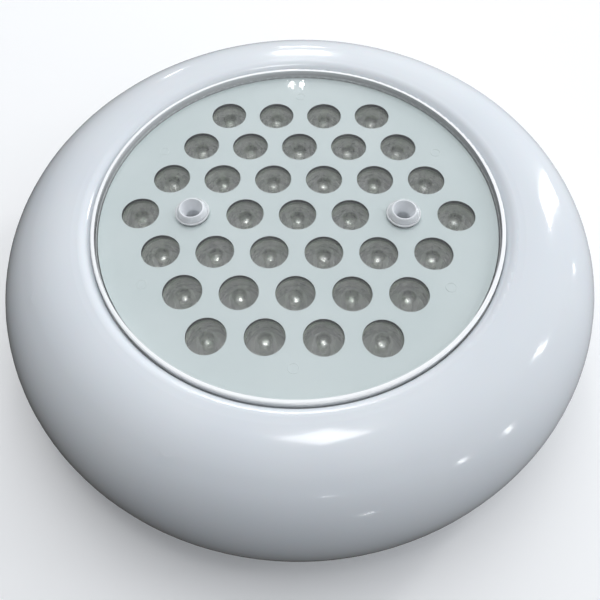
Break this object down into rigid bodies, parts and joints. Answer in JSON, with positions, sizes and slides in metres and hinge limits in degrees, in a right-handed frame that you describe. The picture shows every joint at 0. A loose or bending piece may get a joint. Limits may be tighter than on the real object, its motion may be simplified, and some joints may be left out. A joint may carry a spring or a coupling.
{
  "type": "underwater pool light",
  "caption": "Round surface-mounted underwater pool light: a thick white ring round a clear cover, a pierced mask and a hexagonal field of collimating optics.",
  "frame": {"origin": "middle of the wall bracket on the wall plane", "axes": "+Z out of the wall towards the water, X along the line of the two fixing sleeves"},
  "size_m": [0.296, 0.296, 0.075],
  "materials": {
    "ring_white": "high gloss moulded white",
    "sleeve_white": "gloss moulded white",
    "pan_white": "satin moulded white",
    "cover_clear": "polished clear plastic",
    "optic_clear": "polished clear plastic",
    "mask_grey": "satin pale grey",
    "holder_grey": "matt grey-green",
    "emitter": "pale ceramic",
    "dome": "clear silicone",
    "board_white": "white solder mask",
    "board_green": "green solder mask",
    "pad_grey": "soft grey",
    "aluminium": "machined",
    "steel": "stainless",
    "brass": "machined",
    "silicone_clear": "clear silicone",
    "rubber": "matt",
    "gland_black": "moulded nylon",
    "bracket_white": "satin moulded white",
    "component_black": "moulded",
    "terminal_grey": "moulded",
    "lead_red": "smooth",
    "lead_black": "smooth"
  },
  "bodies": {
    "bracket": {"wall_bracket": "bracket_white", "bracket_inserts": "brass"},
    "compression_cage": {"gland_cage": "gland_black"},
    "compression_nut": {"gland_nut": "gland_black"},
    "lamp": {"board_connector": "terminal_grey", "bridge_rectifier": "component_black", "collimator_optics": "optic_clear", "driver_board": "board_green", "driver_chips": "component_black", "driver_screws": "steel", "engine_screws": "steel", "face_ring": "ring_white", "fixing_sleeve_left": "sleeve_white", "fixing_sleeve_right": "sleeve_white", "front_lens": "cover_clear", "gland_body": "gland_black", "gland_locknut": "gland_black", "gland_seal": "rubber", "gland_washer": "rubber", "heat_spreader": "aluminium", "input_terminal": "terminal_grey", "lamp_pan": "pan_white", "lead_grommet": "rubber", "led_board": "board_white", "led_domes": "dome", "led_lead_black": "lead_black", "led_lead_red": "lead_red", "led_packages": "emitter", "lens_gasket": "rubber", "mask_plate": "mask_grey", "mask_screws": "steel", "optic_holders": "holder_grey", "output_terminal": "terminal_grey", "pan_screws": "steel", "power_inductor": "component_black", "rear_cover": "ring_white", "rear_cover_screws": "steel", "sleeve_floor_seals": "rubber", "sleeve_lens_seals": "silicone_clear", "sleeve_nuts": "sleeve_white", "smoothing_capacitors": "component_black", "thermal_pad": "pad_grey"}
  },
  "joints": [
    {"name": "lamp_lift_off", "type": "slide", "parent": "bracket", "child": "lamp", "axis": [0, 0, 1], "range_m": [0, 0.1]},
    {"name": "gland_cage_slide", "type": "slide", "parent": "lamp", "child": "compression_cage", "axis": [0, 0, -1], "range_m": [0, 0.003]},
    {"name": "gland_nut_turn", "type": "hinge", "parent": "compression_cage", "child": "compression_nut", "pos_m": [0, 0, 0.01], "axis": [0, 0, -1], "range_deg": [0, 720]}
  ],
  "couplings": [
    {"joint": "gland_cage_slide", "follows": "gland_nut_turn", "m_per_rad": 0.00023873}
  ]
}
